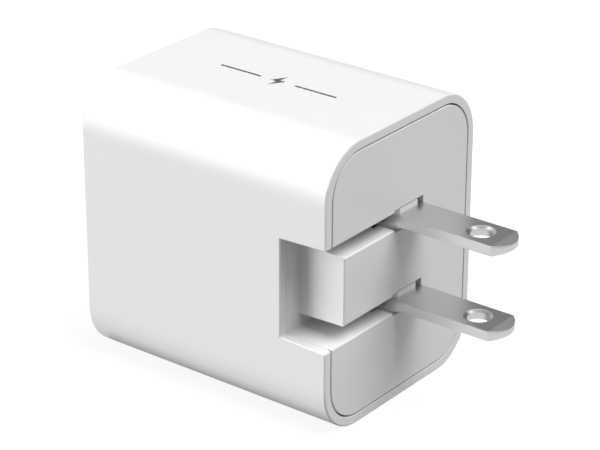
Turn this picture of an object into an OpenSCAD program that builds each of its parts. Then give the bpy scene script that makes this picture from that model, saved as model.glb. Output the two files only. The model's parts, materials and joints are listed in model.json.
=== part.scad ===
// USB wall charger with two folding blades.
// The origin is midway between the blades, on the face that meets the outlet.
// +Y leaves that face along the blades, +X points at the finger notch, +Z is up.

/* [Housing] */
// Width of the housing, along X
body_w = 34.4; // [34.4:0.1:38]
// Height of the housing, along Z
body_h = 42.5; // [42.5:0.1:46]
// Depth of the housing, from the outlet face to the port face
body_d = 43; // [43:0.5:50]
// Radius of the four long corners
corner_r = 7.5; // [6:0.1:8]
// Thickness of the shell's side walls
wall = 1.35; // [1.2:0.05:1.5]
// Thickness of the shell's port wall
port_wall = 1.5; // [1.2:0.1:1.8]
// Gap between the shell's rim and the back plate
seam = 0.25; // [0.2:0.05:0.3]
// Rounding of the rim's outer edge
rim_round = 0.25; // [0.2:0.05:0.4]
// Bevel on the edges of the notch and the slots
edge_bevel = 0.15; // [0.05:0.05:0.2]
// Bevel on both sides of the seam
seam_bevel = 0.05; // [0.03:0.01:0.1]
// Rounding of the port end's outer edge
end_round = 0.4; // [0.4:0.1:1.2]
// Distance from the blades' middle to the housing's middle, along X
body_shift = 1.8; // [1.8:0.05:1.9]

/* [Back plate] */
// Thickness of the face
plate_t = 1.9; // [1.8:0.05:2]
// Width of the finger notch, from the side of the housing to the block
notch_w = 4.25; // [4:0.05:4.3]
// Depth of the finger notch and of the blade slots
notch_d = 7.65; // [7.6:0.05:7.8]
// Height of one blade slot at the face
slot_h = 2.5; // [2.4:0.05:2.5]
// How far each wall of the notch and slots leans in at the bottom
draft = 0.25; // [0.15:0.05:0.25]
// Height of the pocket round one blade's root
pocket_h = 3.5; // [3.5:0.05:3.6]
// Thickness of the walls round the notch and the slots
nest_wall = 1.2; // [1:0.1:1.2]

/* [Blades] */
// Distance between the two blades' middles
pitch = 12.7; // [12.7:0.1:12.7]
// Width of a blade
blade_w = 6.35; // [6.2:0.05:6.4]
// Thickness of a blade
blade_t = 1.5; // [1.4:0.02:1.52]
// Length of a blade outside the housing
blade_len = 17.1; // [15.9:0.1:17.2]
// Radius of the blade's tip
tip_r = 4; // [3.4:0.1:6]
// Thickness at the very tip
tip_t = 1; // [0.8:0.1:1.2]
// Diameter of the hole in a blade
hole_d = 3.18; // [3:0.02:3.3]
// Diameter of the hole's countersink
sink_d = 4; // [3.8:0.1:4.4]
// Depth of the countersink
sink_t = 0.3; // [0.2:0.05:0.45]
// Distance of the hole from the outlet face
hole_y = 11.9; // [11.6:0.1:12.1]

/* [Hinge] */
// Distance from the blades' middle back to the hinge axis, along X
hinge_x = -1.1; // [-1.15:0.05:-1.05]
// Place of the hinge axis behind the outlet face
hinge_y = -2.7; // [-2.75:0.05:-2.65]
// Radius of the carrier's two journals
journal_r = 1.2; // [1.1:0.05:1.25]
// Radial clearance of the journals in their bearings
journal_gap = 0.05; // [0.03:0.01:0.08]
// Thickness of a hub, which holds one blade
hub_t = 3.1; // [3:0.05:3.15]

/* [Ports] */
// Distance between the two ports' middles
port_pitch = 11; // [10:0.5:12]
// Width of a port's opening
port_w = 12.5; // [12.4:0.1:12.6]
// Height of a port's opening
port_h = 5.12; // [5:0.02:5.2]
// Depth of a port's can
can_len = 13.6; // [12:0.2:14]
// Thickness of the can's sheet
can_t = 0.3; // [0.25:0.05:0.35]

/* [Hidden] */

$fn = 64;
eps = 0.01;
over = 1;
side_x = body_shift + body_w / 2;
inner_h = body_h - 2 * wall;
plate_w = body_w - 2 * (wall + seam);
plate_h = body_h - 2 * (wall + seam);
plate_r = corner_r - wall - seam;
blade_z = pitch / 2;

// Pocket round a blade's root, and the wider hub cavity behind the face
pocket_x0 = -3.3;
pocket_x1 = 3.45;
cavity_x1 = 4.9;
skin_d = 2.6;

// Block between the slots, and the nest that the notch and slots are cut in
block_x1 = side_x - notch_w;
slot_out = blade_z + slot_h / 2;
slot_in = blade_z - slot_h / 2;
nest_x1 = side_x - wall - 0.05;
nest_h = 2 * slot_out + 2 * nest_wall;
nest_d = notch_d + nest_wall;
lip_d = 0.6;
core_wall = 1.4;

// Ribs inside the shell that the back plate rests on
rest_w = 1.2;
rest_h = 1.8;
rest_bite = 0.4;
rest_back = -9;
rest_x = 8;

// Bearing ribs, cover and screw bosses behind the face
bar_r = 1.5;
bar_gap = 0.25;
rib_in = 8.3;
rib_t = 1.5;
rib_w = 6;
rib_back = -5;
bearing_end = 0.3;
cover_y = -9.4;
cover_t = 1.2;
cover_x0 = -10;
cover_x1 = 4.5;
cover_h = 29;
cover_r = 2;
finger_gap = 0.05;
screw_x = -6;
screw_z = 11.5;
screw_r = 1;
screw_len = 6;
pilot_len = 6.5;
head_r = 1.9;
head_t = 1.1;
cross_w = 2.4;
cross_t = 0.5;
boss_r = 2.3;

// Hub, measured from the hinge axis
hub_r = 4.15;
hub_round = 2.1;
hub_left = -0.93;
hub_front = 2.65;
root_y = -0.8;
tail_x0 = -0.4;
tail_x1 = 2.2;
tail_y = -5.8;
cam_r = 2;

// Detent leaf and blade contacts
leaf_t = 0.25;
leaf_y = -4.9;
leaf_w = 3.6;
leaf_x0 = -4.6;
leaf_x1 = 2.4;
leaf_foot = 1;
leaf_lean = 0.4;
contact_t = 0.35;
contact_w = 2.4;
contact_x = 0.9;
contact_z = 7.6;
contact_y = [-7.25, -7.9, -8.8, -12.3];
contact_lift = [0.1, -0.22, 0, 0];
lead_y = -11.7;
lead_r = 0.65;
lead_bare_r = 0.35;
lead_bare = 2;

// Circuit boards, which stand in rails inside the shell
board_t = 1.2;
board_x = -12.2;
board_face = board_x + board_t;
board_y0 = -10.9;
board_y1 = -(body_d - port_wall) + 0.3;
board_h = 34.4;
rail_z = 16.4;
rail_y0 = -13;
rail_t = 0.9;
rail_gap = 0.1;
port_y = -(body_d - can_len) - 0.4;
port_board_x1 = 13;
port_board_h = 28.4;
sheet_t = 0.25;
sheet_x = -13.9;
sheet_h = 29;

// Transformer
trafo_y = -20;
core_x0 = -9;
core_x1 = 5;
core_w = 13.2;
core_t = 7;
yoke = 2.2;
leg_in = 1.9;
leg_out = 5;
bobbin_t = 0.65;
flange_t = 0.8;
flange_w = 9.8;
flange_l = 13.8;
fit_gap = 0.05;
sleeve_w = 2 * (leg_in + bobbin_t + fit_gap);
sleeve_l = core_t + 2 * (bobbin_t + fit_gap);
wind_w = 9.6;
wind_l = 13.2;
wind_r = 1.6;

// Electrolytic cans: radius, length and how far out they stand; neck near the foot
input_cap_r = 3.5;
input_cap_len = 16;
input_cap_y = [-16.3, -23.5];
input_cap_z = 10.2;
output_cap_r = 3.1;
output_cap_len = 8.5;
output_cap_x = 9.8;
output_cap_z = [-6, 6];
neck_in = 0.2;
neck_from = 1;
neck_to = 1.6;

// Choke, fuse and disc capacitor, each with its middle along Y and Z
choke_pos = [-17.2, -11.6];
choke_r = 4.1;
choke_len = 9;
choke_flange = 1.2;
choke_wind = 3.5;
fuse_pos = [-15.7, 15.05];
fuse_r = 1.15;
fuse_len = 4.8;
fuse_cap = 1;
fuse_cap_t = 0.1;
disc_pos = [-24.4, -11];
disc_r = 3;
disc_t = 2.4;
disc_legs = 1.8;
disc_leg_r = 0.3;
disc_lift = 1;

// Surface-mount parts on the back of the main board, and the optocoupler
rectifier_pos = [-17, 8];
rectifier_l = 4.7;
controller_pos = [-18, -7];
controller_l = 4.9;
chip_w = 3.9;
chip_h = 1.4;
chip_lift = 0.1;
leg_pitch = 1.27;
leg_w = 0.4;
leg_l = 1;
leg_h = 0.5;
opto_y = -33.5;
opto_l = 4.6;
opto_w = 6.4;
opto_x = [0.4, 3.6];
opto_leg_w = 0.5;
opto_leg_t = 0.8;
opto_leg_x = 1.9;

// Ports
port_x = [body_shift - port_pitch / 2, body_shift + port_pitch / 2];
can_w = port_w + 2 * can_t;
can_h = port_h + 2 * can_t;
can_round = 0.6;
can_mouth = -body_d + 0.3;
mouth_gap = 0.1;
window_z = 3.2;
window_w = 2;
window_y = [3.5, 8];
tongue_w = 11.1;
tongue_t = 1.84;
tongue_off = 1.05;
tongue_end = -body_d + 1.6;
tongue_fit = 0.1;
block_d = 3.6;
block_y = port_y - can_t - block_d;
pin_w = 1;
pin_t = 0.2;
pin_z = [-3.5, -1, 1, 3.5];
pin_end = [0.8, 1.6, 1.6, 0.8];

shell_c = [0.95, 0.95, 0.95];
plate_c = [0.87, 0.87, 0.88];
metal_c = [0.75, 0.75, 0.74];
brass_c = [0.85, 0.66, 0.3];
board_c = [0.1, 0.42, 0.2];
dark_c = [0.12, 0.12, 0.13];
paper_c = [0.85, 0.8, 0.65];
tape_c = [0.9, 0.72, 0.15];
fuse_c = [0.3, 0.5, 0.35];
disc_c = [0.15, 0.35, 0.7];

// Rounded rectangle of true arcs, centred on the origin
module round_rect(w, h, r) {
    square([w - 2 * r, h], center = true);
    square([w, h - 2 * r], center = true);
    for (sx = [-1, 1], sy = [-1, 1])
        translate([sx * (w / 2 - r), sy * (h / 2 - r)]) circle(r);
}

// Sets a flat outline upright and gives it depth, from y0 back to y1
module upright(y0, y1) {
    translate([0, y0, 0]) rotate([90, 0, 0]) linear_extrude(y0 - y1) children();
}

// Box between two corners
module block(lo, hi) {
    translate(lo) cube(hi - lo);
}

// Rounded bar along X, Y or Z
module rod(from, axis, len, r) {
    turn = axis == "x" ? [0, 90, 0] : axis == "y" ? [-90, 0, 0] : [0, 0, 0];
    translate(from) rotate(turn) cylinder(h = len, r = r);
}

// Half of the housing's side view, out to r, with both of its edges rounded
module edge_profile(r) {
    translate([0, end_round]) square([r, body_d - end_round - rim_round]);
    square([r - end_round, body_d]);
    translate([r - end_round, end_round]) circle(end_round);
    translate([r - end_round - over, body_d - rim_round - over])
        square([end_round + over - rim_round, rim_round + over]);
    translate([r - rim_round, body_d - rim_round]) circle(rim_round);
}

// Outline span wide and d deep, with the child as its edge on both sides
module two_edged(span, d) {
    square([span, d]);
    translate([span, 0]) children();
    mirror([1, 0]) children();
}

// Solid with turned corners and straight sides, whose edge from the corner's axis out is the child
module turned_form(w, h, d, r) {
    dx = w / 2 - r;
    dz = h / 2 - r;
    translate([body_shift, -d, 0]) rotate([-90, 0, 0]) {
        for (sx = [-1, 1], sy = [-1, 1])
            translate([sx * dx, sy * dz, 0]) rotate_extrude() children();
        translate([-dx, dz, 0]) rotate([90, 0, 0])
            linear_extrude(2 * dz) two_edged(2 * dx, d) children();
        translate([-dx, -dz, 0]) rotate([90, 0, 90])
            linear_extrude(2 * dx) two_edged(2 * dz, d) children();
    }
}

// The housing's outer form
module housing_form() {
    turned_form(body_w, body_h, body_d, corner_r) edge_profile(corner_r);
}

// Hollow of the shell, open at the outlet face, with a bevel round its mouth
module housing_cavity() {
    r = corner_r - wall;
    translate([body_shift, 0, 0]) upright(over, -(body_d - port_wall))
        round_rect(body_w - 2 * wall, inner_h, r);
    turned_form(body_w - 2 * wall, inner_h, seam_bevel, r)
        polygon([[0, 0], [r, 0], [r + seam_bevel, seam_bevel], [0, seam_bevel]]);
}

// Rails at both edges of the main board, cut off inside the shell's wall
module board_rails() {
    intersection() {
        for (s = [0, 1], x = [board_x - rail_gap - rail_t, board_face + rail_gap])
            mirror([0, 0, s]) block([x, board_y1, rail_z], [x + rail_t, rail_y0, body_h / 2]);
        translate([body_shift, 0, 0]) upright(0, -body_d)
            round_rect(body_w - wall, body_h - wall, corner_r - wall / 2);
    }
}

// Ribs that the back plate rests on
module rest_ribs() {
    for (sz = [-1, 1], sx = [-1, 1])
        translate([body_shift + sx * rest_x, 0, sz * (inner_h / 2 - rest_bite)])
            upright(-plate_t - fit_gap, rest_back) square([rest_w, rest_h], center = true);
}

// Cut from x0 to x1 through the face, z0 to z1 high, narrower below and bevelled at the face
module drafted_cut(x0, x1, z0, z1) {
    lean = draft * edge_bevel / notch_d;
    flare = edge_bevel + over;
    translate([x0, 0, 0]) rotate([90, 0, 90]) linear_extrude(x1 - x0) polygon([
        [over, z1 + flare], [-edge_bevel, z1 - lean], [-notch_d, z1 - draft],
        [-notch_d, z0 + draft], [-edge_bevel, z0 + lean], [over, z0 - flare]
    ]);
}

// Bevels of the notch's three edges on the side of the shell
module side_bevels() {
    c = edge_bevel;
    lean = atan(draft / notch_d);
    linear_extrude(2 * (slot_out - draft) + c, center = true) polygon([
        [side_x - c, -notch_d], [side_x + over, -notch_d - c - over],
        [side_x + over, -notch_d + over], [side_x - c, -notch_d + over]
    ]);
    for (s = [0, 1]) mirror([0, 0, s]) translate([0, 0, slot_out]) rotate([lean, 0, 0])
        upright(over, -notch_d - c / 2) polygon([
            [side_x - c, 0], [side_x + over, c + over], [side_x + over, -over], [side_x - c, -over]
        ]);
}

// White shell with its board rails, cut away for the finger notch and the ports

module outer_shell() color(shell_c) difference() {
    union() {
        difference() {
            housing_form();
            housing_cavity();
        }
        board_rails();
        rest_ribs();
    }
    drafted_cut(nest_x1 - over, side_x + over, -slot_out, slot_out);
    side_bevels();
    for (x = port_x) translate([x, 0, 0]) upright(-body_d + 3, -body_d - over)
        round_rect(can_h + 2 * mouth_gap, can_w + 2 * mouth_gap, can_round);
}

// The nest: solid round the notch and slots, and a deeper skin beside the pockets
module nest() {
    block([pocket_x1, -skin_d, -nest_h / 2], [cavity_x1 + over, -lip_d, nest_h / 2]);
    block([cavity_x1, -nest_d, -nest_h / 2], [nest_x1, -lip_d, nest_h / 2]);
}

// Ribs behind the face that the carrier's journals turn in
module bearing_ribs() {
    for (s = [-1, 1])
        block(
            [hinge_x - rib_w / 2, rib_back, s > 0 ? rib_in : -rib_in - rib_t],
            [hinge_x + rib_w / 2, -plate_t + eps, s > 0 ? rib_in + rib_t : -rib_in]
        );
}

// Screw bosses behind the face
module bosses() {
    for (s = [-1, 1])
        rod([screw_x, cover_y, s * screw_z], "y", -cover_y - plate_t + eps, boss_r);
}

// Pocket round each blade's root and the slot that its blade folds into
module blade_slots() {
    for (z = [-blade_z, blade_z]) {
        block([pocket_x0, -plate_t - over, z - pocket_h / 2], [pocket_x1, over, z + pocket_h / 2]);
        drafted_cut(pocket_x1 - eps, side_x, z - slot_h / 2, z + slot_h / 2);
    }
}

// Space for the carrier's bar, open towards the back
module bar_space() {
    room = bar_r + bar_gap;
    rod([hinge_x, hinge_y, -slot_in], "z", 2 * slot_in, room);
    block([hinge_x - room, hinge_y - over, -slot_in], [hinge_x + room, hinge_y, slot_in]);
}

// Bearings for the journals, open towards the back so that the carrier drops in
module bearings() {
    r = journal_r + journal_gap;
    reach = rib_in + rib_t + bearing_end;
    rod([hinge_x, hinge_y, -reach], "z", 2 * reach, r);
    for (z = [-1, 1] * (rib_in + rib_t / 2))
        block([hinge_x - r, rib_back - over, z - over], [hinge_x + r, hinge_y, z + over]);
}

// Face that meets the outlet, with the nest, the bearings and the bosses behind it
module back_plate() color(plate_c) difference() {
    union() {
        turned_form(plate_w, plate_h, plate_t, plate_r) polygon([
            [0, 0], [plate_r, 0], [plate_r, plate_t - seam_bevel],
            [plate_r - seam_bevel, plate_t], [0, plate_t]
        ]);
        nest();
        bearing_ribs();
        bosses();
    }
    blade_slots();
    drafted_cut(block_x1, side_x, -slot_out, slot_out);
    linear_extrude(pitch, center = true) polygon([
        [block_x1 - edge_bevel, 0], [block_x1, -edge_bevel], [block_x1 + over, -edge_bevel],
        [block_x1 + over, over], [block_x1 - edge_bevel, over]
    ]);
    block(
        [cavity_x1 + nest_wall, -nest_d - over, -slot_in + core_wall],
        [block_x1 - core_wall, -core_wall, slot_in - core_wall]
    );
    bar_space();
    bearings();
    for (s = [-1, 1]) rod([screw_x, cover_y - over, s * screw_z], "y", pilot_len, screw_r);
}

// Inner cover, whose fingers hold the journals in their bearings
module carrier_cover() color(plate_c) difference() {
    half = rib_t / 2 - finger_gap;
    union() {
        translate([(cover_x0 + cover_x1) / 2, 0, 0]) upright(cover_y, cover_y - cover_t)
            round_rect(cover_x1 - cover_x0, cover_h, cover_r);
        for (z = [-1, 1] * (rib_in + rib_t / 2)) block(
            [hinge_x - journal_r, cover_y - eps, z - half],
            [hinge_x + journal_r, hinge_y - journal_r - journal_gap, z + half]
        );
    }
    for (s = [-1, 1]) {
        rod([screw_x, cover_y - cover_t - over, s * screw_z], "y", cover_t + 2 * over, screw_r);
        translate([contact_x, cover_y - cover_t / 2, s * (contact_z + contact_t / 2)])
            cube([contact_w, cover_t + 2 * over, contact_t], center = true);
    }
}

// Two pan-head screws with crossed slots
module cover_screws() color(metal_c) for (s = [-1, 1])
    translate([screw_x, cover_y - cover_t, s * screw_z]) difference() {
        union() {
            rod([0, -head_t, 0], "y", head_t, head_r);
            rod([0, 0, 0], "y", screw_len, screw_r);
        }
        for (turn = [0, 90]) rotate([0, turn, 0]) translate([0, -head_t, 0])
            cube([cross_w, 2 * cross_t, cross_t], center = true);
    }

// Outline of a strip t thick along a path of points, with mitred bends
function unit(v) = v / norm(v);
function side_of(v) = [-v[1], v[0]];
function miter(p, i) =
    i == 0 ? side_of(unit(p[1] - p[0]))
    : i == len(p) - 1 ? side_of(unit(p[i] - p[i - 1]))
    : let (a = side_of(unit(p[i] - p[i - 1])), b = side_of(unit(p[i + 1] - p[i])), m = unit(a + b))
        m / (m * a);
module strip(p, t) {
    left = [for (i = [0 : len(p) - 1]) p[i] + miter(p, i) * t / 2];
    right = [for (i = [len(p) - 1 : -1 : 0]) p[i] - miter(p, i) * t / 2];
    polygon(concat(left, right));
}

// Leaf that springs onto the carrier's cam
module detent_spring() color(metal_c) {
    low = cover_y + leaf_t / 2;
    top = leaf_y - leaf_t / 2;
    translate([0, 0, -leaf_w / 2]) linear_extrude(leaf_w) strip([
        [leaf_x0 - leaf_foot, low], [leaf_x0, low], [leaf_x0 + leaf_lean, top],
        [leaf_x1 - leaf_lean, top], [leaf_x1, low], [leaf_x1 + leaf_foot, low]
    ], leaf_t);
}

// Contact that a blade's tail slides under when the blades are out
module contact(s) color(brass_c) translate([contact_x - contact_w / 2, 0, 0])
    mirror([0, 0, s < 0 ? 1 : 0]) rotate([90, 0, 90]) linear_extrude(contact_w) strip([
        for (i = [0 : len(contact_y) - 1])
            [contact_y[i], contact_z + contact_t / 2 + contact_lift[i]]
    ], contact_t);
module contact_upper() contact(1);
module contact_lower() contact(-1);

// Insulated lead from a blade contact straight to the main board
module lead(s, tint) color(tint) {
    z = s * (contact_z - lead_r);
    rod([board_face, lead_y, z], "x", contact_x - board_face, lead_bare_r);
    rod([board_face + lead_bare / 2, lead_y, z], "x", contact_x - board_face - lead_bare, lead_r);
}
module line_lead() lead(1, dark_c);
module neutral_lead() lead(-1, shell_c);

// One hub of the carrier, seen along the hinge axis
module hub_outline() {
    circle(hub_round);
    intersection() {
        circle(hub_r);
        translate([hub_left, -hub_round]) square([hub_r - hub_left, hub_front + hub_round]);
    }
}

// Middle of the bar: round in front, with two flats that the leaf springs onto
module cam_outline() {
    circle(bar_r);
    intersection() {
        circle(cam_r);
        translate([0, -bar_r]) square([bar_r, bar_r]);
    }
}

// Hubs, bar and journals in one moulding, with a slit for each blade
module prong_carrier() color(plate_c) difference() {
    translate([hinge_x, hinge_y, 0]) {
        for (s = [-1, 1]) translate([0, 0, s * blade_z - hub_t / 2])
            linear_extrude(hub_t) hub_outline();
        cylinder(h = pitch, r = bar_r, center = true);
        linear_extrude(leaf_w + 2, center = true) cam_outline();
        cylinder(h = 2 * (rib_in + rib_t), r = journal_r, center = true);
    }
    for (s = [-1, 1]) translate([0, 0, s * blade_z])
        linear_extrude(blade_t, center = true) blade_outline();
}

// A blade seen along its thickness: tip, shaft and the tail behind the hinge
module blade_outline() {
    intersection() {
        translate([-blade_w / 2, hinge_y + root_y]) square([blade_w, blade_len - hinge_y - root_y]);
        union() {
            translate([0, blade_len - tip_r]) circle(tip_r);
            translate([-blade_w / 2, hinge_y + root_y])
                square([blade_w, blade_len - tip_r - hinge_y - root_y]);
        }
    }
    translate([hinge_x + tail_x0, hinge_y + tail_y])
        square([tail_x1 - tail_x0, root_y - tail_y + eps]);
}

// A blade's thickness along its length, thinned over the rounded tip
module blade_side() {
    shoulder = blade_len - tip_r + sqrt(tip_r * tip_r - blade_w * blade_w / 4);
    back = hinge_y + tail_y - over;
    polygon([
        [back, -blade_t / 2], [shoulder, -blade_t / 2], [blade_len, -tip_t / 2],
        [blade_len, tip_t / 2], [shoulder, blade_t / 2], [back, blade_t / 2]
    ]);
}

// One blade with its hole, countersunk on both sides
module blade(s) color(metal_c) translate([0, 0, s * blade_z]) difference() {
    intersection() {
        linear_extrude(blade_t + over, center = true) blade_outline();
        translate([-blade_w, 0, 0]) rotate([90, 0, 90]) linear_extrude(2 * blade_w) blade_side();
    }
    translate([0, hole_y, -blade_t]) cylinder(h = 2 * blade_t, d = hole_d);
    for (turn = [0, 180]) rotate([0, turn, 0]) translate([0, hole_y, blade_t / 2 - sink_t])
        cylinder(h = sink_t + eps, d1 = hole_d, d2 = sink_d);
}
module prong_upper() blade(1);
module prong_lower() blade(-1);

// Mains board, parallel to the housing's far side
module main_board() color(board_c)
    block([board_x, board_y1, -board_h / 2], [board_face, board_y0, board_h / 2]);

// Board across the end of the main board, which carries the ports
module port_board() color(board_c) block(
    [board_face, port_y, -port_board_h / 2],
    [port_board_x1, port_y + board_t, port_board_h / 2]
);

// Sheet between the back of the main board and the shell
module insulation_sheet() color(paper_c)
    block([sheet_x, board_y1, -sheet_h / 2], [sheet_x + sheet_t, board_y0, sheet_h / 2]);

// Two E cores face to face: a centre leg, two outer legs and two yokes
module transformer_core() color(dark_c) translate([0, trafo_y, 0]) difference() {
    block([core_x0, -core_t / 2, -core_w / 2], [core_x1, core_t / 2, core_w / 2]);
    for (s = [-1, 1]) translate([0, 0, s * (leg_in + leg_out) / 2])
        block(
            [core_x0 + yoke, -core_t, -(leg_out - leg_in) / 2],
            [core_x1 - yoke, core_t, (leg_out - leg_in) / 2]
        );
}

// Block round the transformer's X axis, w high and l deep
module bobbin_ring(w, l, x0, x1) {
    block([x0, -l / 2, -w / 2], [x1, l / 2, w / 2]);
}

// Coil former: a sleeve with two flanges and a foot on the board at each end
module transformer_bobbin() color(dark_c) translate([0, trafo_y, 0]) difference() {
    x0 = core_x0 + yoke + fit_gap;
    x1 = core_x1 - yoke - fit_gap;
    union() {
        bobbin_ring(sleeve_w, sleeve_l, x0, x1);
        for (x = [x0, x1 - flange_t]) bobbin_ring(flange_w, flange_l, x, x + flange_t);
        for (s = [-1, 1]) translate([0, s * (flange_l + core_t + 2 * fit_gap) / 4, 0])
            bobbin_ring(flange_w, (flange_l - core_t) / 2 - fit_gap, board_face, x0 + flange_t);
    }
    bobbin_ring(2 * (leg_in + fit_gap), core_t + 2 * fit_gap, x0 - over, x1 + over);
}

// Taped winding on the coil former
module transformer_winding() color(tape_c) {
    x0 = core_x0 + yoke + fit_gap + flange_t;
    x1 = core_x1 - yoke - fit_gap - flange_t;
    translate([x0, trafo_y, 0]) rotate([0, 90, 0]) linear_extrude(x1 - x0) difference() {
        round_rect(wind_w, wind_l, wind_r);
        square([sleeve_w, sleeve_l], center = true);
    }
}

// Electrolytic can with a rolled neck near its foot
module can_capacitor(axis, r, h) {
    ahead = axis == "x" ? [1, 0, 0] : [0, 1, 0];
    rod([0, 0, 0], axis, h, r - neck_in);
    rod([0, 0, 0], axis, neck_from, r);
    rod(neck_to * ahead, axis, h - neck_to - 2 * neck_in, r);
}

// Two cans that lie across the housing from the main board
module input_capacitors() color(dark_c)
    for (y = input_cap_y) translate([board_face, y, input_cap_z])
        can_capacitor("x", input_cap_r, input_cap_len);

// Two cans on the port board
module output_capacitors() color(metal_c)
    for (z = output_cap_z) translate([output_cap_x, port_y + board_t, z])
        can_capacitor("y", output_cap_r, output_cap_len);

// Choke: a wound drum between two flanges
module filter_choke() color(dark_c) translate([board_face, choke_pos[0], choke_pos[1]]) {
    rod([0, 0, 0], "x", choke_len, choke_wind);
    for (x = [0, choke_len - choke_flange]) rod([x, 0, 0], "x", choke_flange, choke_r);
}

// Fuse with an end cap on each side
module line_fuse() color(fuse_c) translate([board_face, fuse_pos[0], fuse_pos[1]]) {
    lift = fuse_r + fuse_cap_t;
    rod([lift, -fuse_len / 2, 0], "y", fuse_len, fuse_r);
    for (y = [-fuse_len / 2, fuse_len / 2 - fuse_cap]) rod([lift, y, 0], "y", fuse_cap, lift);
}

// Disc capacitor on two legs
module y_capacitor() color(disc_c) translate([board_face, disc_pos[0], disc_pos[1]]) {
    rod([disc_r + disc_lift, 0, -disc_t / 2], "z", disc_t, disc_r);
    for (y = [-disc_legs, disc_legs]) rod([0, y, 0], "x", disc_r, disc_leg_r);
}

// Surface-mount part with a row of legs on each side
module flat_pack(pos, l, legs) color(dark_c) translate([board_x, pos[0], pos[1]]) {
    block([-chip_h, -l / 2, -chip_w / 2], [-chip_lift, l / 2, chip_w / 2]);
    for (z = [-1, 1] * (chip_w / 2 + leg_w), i = [0 : legs - 1])
        translate([-leg_h / 2, (i - (legs - 1) / 2) * leg_pitch, z])
            cube([leg_h, leg_w, leg_l], center = true);
}
module bridge_rectifier() flat_pack(rectifier_pos, rectifier_l, 2);
module controller_chip() flat_pack(controller_pos, controller_l, 4);

// Optocoupler across the middle of the main board
module optocoupler() color(shell_c) translate([board_face, opto_y, 0]) {
    block([opto_x[0], -opto_l / 2, -opto_w / 2], [opto_x[1], opto_l / 2, opto_w / 2]);
    for (z = [-1, 1] * (opto_w + opto_leg_t) / 2, y = [-leg_pitch, leg_pitch])
        translate([opto_leg_x / 2, y, z])
            cube([opto_leg_x, opto_leg_w, opto_leg_t], center = true);
}

// Stamped can of one port, with two spring windows in each broad side
module usb_can(x) color(metal_c) translate([x, 0, 0]) difference() {
    upright(port_y, can_mouth) round_rect(can_h, can_w, can_round);
    upright(port_y - can_t, can_mouth - over) round_rect(port_h, port_w, can_round - can_t);
    for (z = [-window_z, window_z]) block(
        [-can_h, can_mouth + window_y[0], z - window_w / 2],
        [can_h, can_mouth + window_y[1], z + window_w / 2]
    );
}
module usb_can_a() usb_can(port_x[0]);
module usb_can_b() usb_can(port_x[1]);

// Moulded block that fills the back of the can, with the tongue in front
module usb_tongue(x) color(dark_c) translate([x, 0, 0]) {
    upright(port_y - can_t, block_y)
        round_rect(port_h - tongue_fit, port_w - tongue_fit, can_round - can_t);
    upright(port_y - can_t, tongue_end)
        translate([tongue_off, 0]) square([tongue_t, tongue_w], center = true);
}
module usb_tongue_a() usb_tongue(port_x[0]);
module usb_tongue_b() usb_tongue(port_x[1]);

// Four flat contacts on the tongue, the two inner ones shorter
module usb_contacts(x) color(brass_c) for (i = [0 : len(pin_z) - 1])
    translate([x + tongue_off - tongue_t / 2 - pin_t, 0, pin_z[i]])
        block([0, tongue_end + pin_end[i], -pin_w / 2], [pin_t, block_y, pin_w / 2]);
module usb_contacts_a() usb_contacts(port_x[0]);
module usb_contacts_b() usb_contacts(port_x[1]);

outer_shell();
back_plate();
carrier_cover();
cover_screws();
detent_spring();
contact_upper();
contact_lower();
line_lead();
neutral_lead();
prong_carrier();
prong_upper();
prong_lower();
main_board();
port_board();
insulation_sheet();
transformer_core();
transformer_bobbin();
transformer_winding();
input_capacitors();
output_capacitors();
filter_choke();
line_fuse();
y_capacitor();
bridge_rectifier();
controller_chip();
optocoupler();
usb_can_a();
usb_can_b();
usb_tongue_a();
usb_tongue_b();
usb_contacts_a();
usb_contacts_b();
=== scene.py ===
"""USB wall charger with folding blades: looks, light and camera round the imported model."""
import json
import math

import bmesh
import bpy
from mathutils import Matrix, Vector


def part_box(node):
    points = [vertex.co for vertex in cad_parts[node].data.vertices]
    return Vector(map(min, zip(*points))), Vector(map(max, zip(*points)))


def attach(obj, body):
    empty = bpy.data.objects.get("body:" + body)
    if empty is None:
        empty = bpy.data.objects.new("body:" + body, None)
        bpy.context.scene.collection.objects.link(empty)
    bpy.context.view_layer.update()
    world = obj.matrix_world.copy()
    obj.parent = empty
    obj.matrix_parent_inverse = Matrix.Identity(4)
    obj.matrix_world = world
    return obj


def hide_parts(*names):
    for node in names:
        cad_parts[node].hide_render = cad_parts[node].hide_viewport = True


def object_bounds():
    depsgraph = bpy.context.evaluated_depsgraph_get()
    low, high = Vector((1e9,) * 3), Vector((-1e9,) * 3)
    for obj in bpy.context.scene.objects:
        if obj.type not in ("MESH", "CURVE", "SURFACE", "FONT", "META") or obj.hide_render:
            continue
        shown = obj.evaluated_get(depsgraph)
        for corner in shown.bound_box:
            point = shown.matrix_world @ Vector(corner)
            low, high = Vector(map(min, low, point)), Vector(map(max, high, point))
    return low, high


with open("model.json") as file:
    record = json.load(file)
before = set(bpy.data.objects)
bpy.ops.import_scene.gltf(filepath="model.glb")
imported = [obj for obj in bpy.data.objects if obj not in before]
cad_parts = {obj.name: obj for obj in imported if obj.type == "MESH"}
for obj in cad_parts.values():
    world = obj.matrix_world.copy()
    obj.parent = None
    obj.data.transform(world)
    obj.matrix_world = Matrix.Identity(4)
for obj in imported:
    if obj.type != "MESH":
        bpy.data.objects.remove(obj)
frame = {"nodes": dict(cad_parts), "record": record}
CAD_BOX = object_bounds()
NODES = frame["nodes"]
MM = 0.001


# ---------------------------------------------------------------- camera

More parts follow.
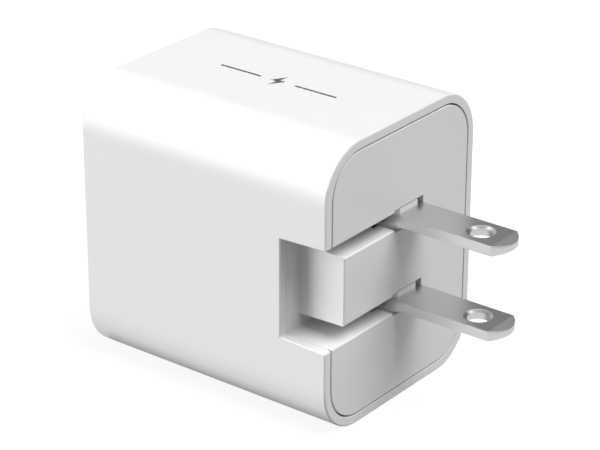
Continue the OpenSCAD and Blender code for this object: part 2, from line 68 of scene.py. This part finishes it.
def make_camera():
    """The camera's place and turn are those that line the model up with its reference view."""
    azimuth, elevation, roll = math.radians(127.714), math.radians(24.837), math.radians(0.16)
    place = Vector((245.955, 171.265, 143.178)) * MM
    back = Vector((
        math.sin(azimuth) * math.cos(elevation),
        -math.cos(azimuth) * math.cos(elevation),
        math.sin(elevation),
    ))
    level = Vector((math.cos(azimuth), math.sin(azimuth), 0))
    upright = back.cross(level)
    right = math.cos(roll) * level + math.sin(roll) * upright
    up = back.cross(right)
    turn = Matrix((right, up, back)).transposed().to_4x4()
    data = bpy.data.cameras.new("camera")
    data.lens = 143.94
    data.sensor_width = 36
    data.clip_start, data.clip_end = 0.01, 20
    camera = bpy.data.objects.new("camera", data)
    bpy.context.scene.collection.objects.link(camera)
    camera.matrix_world = Matrix.Translation(place) @ turn
    bpy.context.scene.camera = camera


make_camera()


# ---------------------------------------------------------------- materials

def new_material(name):
    material = bpy.data.materials.new(name)
    material.use_nodes = True
    tree = material.node_tree
    return material, tree, tree.nodes["Principled BSDF"]


def add_noise(tree, place, scale, detail=2):
    noise = tree.nodes.new("ShaderNodeTexNoise")
    noise.inputs["Scale"].default_value = scale
    noise.inputs["Detail"].default_value = detail
    tree.links.new(place, noise.inputs["Vector"])
    return noise.outputs["Fac"]


def vary_gloss(tree, source, shader, low, high):
    """Drives the roughness from a noise, between two values."""
    span = tree.nodes.new("ShaderNodeMapRange")
    span.inputs["To Min"].default_value = low
    span.inputs["To Max"].default_value = high
    tree.links.new(source, span.inputs["Value"])
    tree.links.new(span.outputs["Result"], shader.inputs["Roughness"])


def vary_colour(tree, source, shader, colour, by):
    """Drives the base colour from a noise, a little darker and lighter than the colour."""
    ramp = tree.nodes.new("ShaderNodeValToRGB")
    for stop, share in zip(ramp.color_ramp.elements, (1 - by, 1 + by)):
        stop.color = (*(part * share for part in colour), 1)
    tree.links.new(source, ramp.inputs["Fac"])
    tree.links.new(ramp.outputs["Color"], shader.inputs["Base Color"])


def emboss(tree, source, shader, strength, height):
    """Drives the bump from a noise; height is in millimetres."""
    bump = tree.nodes.new("ShaderNodeBump")
    bump.inputs["Strength"].default_value = strength
    bump.inputs["Distance"].default_value = height * MM
    tree.links.new(source, bump.inputs["Height"])
    tree.links.new(bump.outputs["Normal"], shader.inputs["Normal"])


def plastic(name, colour, roughness, grain, depth, coat=0.0, tint=0.03):
    """Moulded plastic: a fine spark-eroded grain in the bump, a faint cloud in gloss and colour."""
    material, tree, shader = new_material(name)
    shader.inputs["Coat Weight"].default_value = coat
    shader.inputs["Coat Roughness"].default_value = 0.2
    place = tree.nodes.new("ShaderNodeTexCoord").outputs["Object"]
    emboss(tree, add_noise(tree, place, grain, detail=3), shader, depth, height=0.03)
    grains_per_cloud, gloss_by = 20, 0.04
    cloud = add_noise(tree, place, grain / grains_per_cloud)
    vary_gloss(tree, cloud, shader, roughness - gloss_by, roughness + gloss_by)
    vary_colour(tree, cloud, shader, colour, tint)
    return material


def metal(name, colour, roughness, along=(60, 4000, 4000), depth=0.15, grain=0.0):
    """Plated sheet metal: fine drawing lines along one axis, in gloss, colour and bump.

    A grain above 0 mixes in tumbled speckle, by that share.
    """
    material, tree, shader = new_material(name)
    shader.inputs["Metallic"].default_value = 1
    place = tree.nodes.new("ShaderNodeTexCoord").outputs["Object"]
    stretch = tree.nodes.new("ShaderNodeMapping")
    stretch.inputs["Scale"].default_value = along
    tree.links.new(place, stretch.inputs["Vector"])
    lines = add_noise(tree, stretch.outputs["Vector"], 1, detail=4)
    speckle = add_noise(tree, place, 7000)
    mix = tree.nodes.new("ShaderNodeMix")
    mix.inputs["Factor"].default_value = grain
    tree.links.new(lines, mix.inputs["A"])
    tree.links.new(speckle, mix.inputs["B"])
    both = mix.outputs["Result"]
    smoother, rougher, tint = 0.06, 0.08, 0.1
    vary_gloss(tree, both, shader, roughness - smoother, roughness + rougher)
    vary_colour(tree, both, shader, colour, tint)
    emboss(tree, both, shader, depth, height=0.01)
    return material


WHITE = (0.75, 0.75, 0.75)
FINISHES = {
    "shell_plastic": (plastic, WHITE, 0.38, 5000, 0.12, 0.1, 0.01),
    "plate_plastic": (plastic, WHITE, 0.45, 5000, 0.2, 0, 0.01),
    "hub_plastic": (plastic, (0.82, 0.82, 0.82), 0.3, 5000, 0.05, 0.3, 0.01),
    "blade_metal": (metal, (0.73, 0.73, 0.73), 0.3, (3000, 90, 3000), 0.45, 0.7),
    "spring_steel": (metal, (0.55, 0.55, 0.56), 0.3),
    "can_metal": (metal, (0.7, 0.7, 0.69), 0.25),
    "contact_brass": (metal, (0.83, 0.62, 0.26), 0.25),
    "lead_black": (plastic, (0.02, 0.02, 0.02), 0.5, 3000, 0.3),
    "lead_white": (plastic, (0.8, 0.8, 0.78), 0.5, 3000, 0.3),
    "board_green": (plastic, (0.02, 0.16, 0.06), 0.35, 1500, 0.4, 0.3),
    "paper_tan": (plastic, (0.6, 0.5, 0.32), 0.8, 1200, 0.8),
    "ferrite": (plastic, (0.03, 0.03, 0.032), 0.6, 2500, 0.7),
    "black_plastic": (plastic, (0.016, 0.016, 0.017), 0.45, 3000, 0.3),
    "tape_yellow": (plastic, (0.75, 0.5, 0.03), 0.3, 900, 0.3, 0.3),
    "sleeve_black": (plastic, (0.012, 0.012, 0.015), 0.25, 800, 0.2, 0.3),
    "can_aluminium": (metal, (0.8, 0.8, 0.8), 0.3),
    "fuse_green": (plastic, (0.06, 0.2, 0.09), 0.3, 1000, 0.3),
    "disc_blue": (plastic, (0.01, 0.09, 0.4), 0.3, 1000, 0.3),
    "opto_white": (plastic, (0.7, 0.7, 0.67), 0.5, 2500, 0.3),
}
LOOKS = {name: make(name, *values) for name, (make, *values) in FINISHES.items()}


def dress(piece, slot):
    piece.data.materials.clear()
    piece.data.materials.append(LOOKS[slot])


for part in frame["record"]["subparts"]:
    dress(NODES[part["node"]], part["material_slot"])


# ---------------------------------------------------------------- mesh tools

def inset(points, by):
    """A closed outline, run anticlockwise, moved inwards by the same distance all round."""
    moved = []
    for number, point in enumerate(points):
        ahead = (points[(number + 1) % len(points)] - point).normalized()
        behind = (point - points[number - 1]).normalized()
        side = Vector((-ahead.y, ahead.x)) + Vector((-behind.y, behind.x))
        moved.append(point + side * (2 * by / side.length_squared))
    return moved


def arc(radius, start, end, steps):
    """Points on an arc round the origin; the angles run anticlockwise from +X."""
    turns = [start + (end - start) * i / steps for i in range(steps + 1)]
    return [radius * Vector((math.cos(t), math.sin(t))) for t in turns]


def circle(middle, radius, count):
    turns = [2 * math.pi * i / count for i in range(count)]
    return [middle + radius * Vector((math.cos(t), math.sin(t))) for t in turns]


def add_ring(mesh, points, height):
    return [mesh.verts.new((point.x, point.y, height)) for point in points]


def join_rings(mesh, one, two):
    count = len(one)
    for i in range(count):
        mesh.faces.new((one[i], one[(i + 1) % count], two[(i + 1) % count], two[i]))


def make_piece(mesh, name, slot):
    data = bpy.data.meshes.new(name)
    mesh.to_mesh(data)
    mesh.free()
    piece = bpy.data.objects.new(name, data)
    bpy.context.scene.collection.objects.link(piece)
    dress(piece, slot)
    return piece


# ---------------------------------------------------------------- blades

def make_blade(name, node):
    """A pressed blade: broken edges, a countersunk hole, a thinned round tip, a narrow tail."""
    low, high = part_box(node)
    half = (high.x - low.x) / 2 / MM
    tip = high.y / MM
    tail = low.y / MM
    thick = (high.z - low.z) / MM
    root, tail_x0, tail_x1 = -3.5, -1.5, 1.1
    tip_r, tip_thick, tip_steps = 4.0, 1.0, 40
    hole, hole_r, sink_r, sink, hole_sides = Vector((0, 11.9)), 1.59, 1.94, 0.3, 64
    lip, break_r, border = 0.06, 0.1, 0.15
    smooth_up_to = math.radians(31)

    start = math.acos(half / tip_r)
    shoulder = tip - tip_r + tip_r * math.sin(start)
    outline = [Vector(p) for p in (
        (-half, root), (tail_x0, root), (tail_x0, tail), (tail_x1, tail), (tail_x1, root),
        (half, root))]
    middle = Vector((0, tip - tip_r))
    outline += [middle + point for point in arc(tip_r, start, math.pi - start, tip_steps)]

    mesh = bmesh.new()
    z = thick / 2
    bends = [math.radians(a) for a in (0, 30, 60, 90)]
    edge = [(break_r + border, z)]
    edge += [(break_r * (1 - math.sin(a)), z - break_r * (1 - math.cos(a))) for a in bends]
    outer = [add_ring(mesh, inset(outline, by), height) for by, height in edge]
    outer += [add_ring(mesh, inset(outline, by), -height) for by, height in reversed(edge)]
    bore = [
        (sink_r + lip + border, z), (sink_r + lip, z), (sink_r, z - lip / 2), (hole_r, z - sink)]
    inner = [add_ring(mesh, circle(hole, r, hole_sides), height) for r, height in bore]
    inner += [
        add_ring(mesh, circle(hole, r, hole_sides), -height) for r, height in reversed(bore)]
    for rings in (outer, inner):
        for one, two in zip(rings, rings[1:]):
            join_rings(mesh, one, two)
    for rings in ((outer[0], inner[0]), (outer[-1], inner[-1])):
        rims = [mesh.edges.get((ring[i - 1], ring[i])) for ring in rings for i in range(len(ring))]
        bmesh.ops.triangle_fill(mesh, edges=rims, use_beauty=True, use_dissolve=False)
    bmesh.ops.bisect_plane(
        mesh, geom=mesh.verts[:] + mesh.edges[:] + mesh.faces[:], dist=1e-5,
        plane_co=(0, shoulder, 0), plane_no=(0, 1, 0))
    for vert in mesh.verts:
        past = max(0, vert.co.y - shoulder) / (tip - shoulder)
        vert.co.z *= 1 - past * (1 - tip_thick / thick)
        vert.co = vert.co * MM
        vert.co.z += (low.z + high.z) / 2
    bmesh.ops.recalc_face_normals(mesh, faces=mesh.faces[:])
    for face in mesh.faces:
        face.smooth = True
    for line in mesh.edges:
        across = all(abs(vert.co.y - shoulder * MM) < 1e-6 for vert in line.verts)
        line.smooth = line.calc_face_angle(0) < smooth_up_to and not across
    blade = make_piece(mesh, name, "blade_metal")
    normals = blade.modifiers.new("normals", "WEIGHTED_NORMAL")
    normals.weight = 100
    normals.keep_sharp = True
    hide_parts(node)
    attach(blade, "prongs")


make_blade("blade_upper", "prong_upper")
make_blade("blade_lower", "prong_lower")


# ---------------------------------------------------------------- printed mark

def make_mark():
    """A generic charge sign in silver ink on the top: a bolt between two round-ended bars."""
    low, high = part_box("outer_shell")
    middle = Vector(((low.x + high.x) / 2, (low.y + high.y) / 2)) / MM
    bolt = [(0.3, 2), (-1.1, -0.25), (-0.1, -0.25), (-0.4, -2), (1.1, 0.35), (0.1, 0.35)]
    bar_from, bar_to, bar_r, end_steps = 3.2, 10, 0.22, 8
    sunk, proud = 0.01, 0.02

    outlines = [[Vector(point) for point in bolt]]
    right_end = arc(bar_r, -math.pi / 2, math.pi / 2, end_steps)
    left_end = arc(bar_r, math.pi / 2, 3 * math.pi / 2, end_steps)
    for near, far in ((-bar_to, -bar_from), (bar_from, bar_to)):
        outlines.append(
            [Vector((far, 0)) + point for point in right_end]
            + [Vector((near, 0)) + point for point in left_end])
    mesh = bmesh.new()
    for outline in outlines:
        flat = [middle + Vector((-point.y, point.x)) for point in outline]
        below = add_ring(mesh, flat, high.z / MM - sunk)
        above = add_ring(mesh, flat, high.z / MM + proud)
        join_rings(mesh, below, above)
        mesh.faces.new(above)
        mesh.faces.new(below)
    bmesh.ops.recalc_face_normals(mesh, faces=mesh.faces[:])
    for vert in mesh.verts:
        vert.co = vert.co * MM
    mark = make_piece(mesh, "charge_mark", "can_metal")
    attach(mark, "housing")


make_mark()


# ---------------------------------------------------------------- studio

def sun(name, power, azimuth, elevation):
    """A soft sun; azimuth 0 stands in front of the ports and 90 in front of the notched side."""
    turn, lift = math.radians(azimuth), math.radians(elevation)
    towards = Vector((
        math.sin(turn) * math.cos(lift), -math.cos(turn) * math.cos(lift), math.sin(lift)))
    light = bpy.data.lights.new(name, "SUN")
    light.energy = power
    light.angle = math.radians(45)
    lamp = bpy.data.objects.new(name, light)
    bpy.context.scene.collection.objects.link(lamp)
    lamp.rotation_mode = "QUATERNION"
    lamp.rotation_quaternion = towards.to_track_quat("Z", "Y")
    return lamp


def glow(name, colour, strength):
    material, _, shader = new_material(name)
    shader.inputs["Base Color"].default_value = (colour, colour, colour, 1)
    shader.inputs["Roughness"].default_value = 0.9
    shader.inputs["Emission Color"].default_value = (1, 1, 1, 1)
    shader.inputs["Emission Strength"].default_value = strength
    return material


def add_wall(name, radius, height, base, strength):
    """An open round wall that stands far outside the charger and lights nothing by itself."""
    bpy.ops.mesh.primitive_cylinder_add(
        vertices=96, radius=radius, depth=height, end_fill_type="NOTHING",
        location=(0, 0, base + height / 2))
    wall = bpy.context.object
    wall.name = name
    wall.data.materials.append(glow(name, 0, strength))
    wall.visible_diffuse = False
    wall.visible_shadow = False
    return wall


def add_panel(name, middle, size, strength):
    """A flat panel that shows in reflections only."""
    bpy.ops.mesh.primitive_plane_add(size=1, location=middle)
    panel = bpy.context.object
    panel.name = name
    panel.scale = (*size, 1)
    panel.data.materials.append(glow(name, 0, strength))
    for ray in ("camera", "diffuse", "shadow", "transmission"):
        setattr(panel, "visible_" + ray, False)


def make_studio():
    """A white studio with three soft suns and an even sky.

    What is seen and what is reflected are set apart. The camera sees the floor and the backdrop.
    Reflections show a bounce from the floor, a dim ring all round, a softbox overhead with a
    scrim under its middle, and a black sheet under the housing that is a painted shadow. Of the
    suns, they show the key only.
    """
    base = CAD_BOX[0].z
    room = 8
    bpy.ops.mesh.primitive_plane_add(size=room, location=(0, 0, base))
    floor = bpy.context.object
    floor.name = "floor"
    floor.data.materials.append(glow("floor", 0.25, 0.78))
    floor.visible_diffuse = False
    floor.visible_glossy = False
    add_panel("bounce", (0, 0, base), (room, room), 0.84)

    backdrop = add_wall("backdrop", 3.8, 4, base, 1)
    backdrop.visible_glossy = False
    ring = add_wall("ring", 1.5, 0.98, base, 0.12)
    ring.visible_camera = False
    add_panel("softbox", (0, 0, base + 1), (1.6, 1.6), 1.5)
    add_panel("scrim", (0, 0, base + 0.95), (0.7, 0.7), 0.4)
    low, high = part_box("outer_shell")
    above_floor = 0.05 * MM
    # Painted shadow: a black sheet under the housing's footprint, seen in reflections only, stands
    # in for the shade under the charger.
    add_panel("contact", ((low.x + high.x) / 2, (low.y + high.y) / 2, base + above_floor),
              (high.x - low.x, high.y - low.y), 0)

    world = bpy.data.worlds.new("studio")
    bpy.context.scene.world = world
    world.use_nodes = True
    sky = world.node_tree.nodes["Background"]
    sky.inputs["Color"].default_value = (1, 1, 1, 1)
    sky.inputs["Strength"].default_value = 0.255

    sun("key", 3.75, 50, 10)
    sun("fill", 0.5, 230, 35).visible_glossy = False
    sun("top", 2.75, 198, 63).visible_glossy = False

    bpy.context.scene.view_settings.view_transform = "Standard"


make_studio()
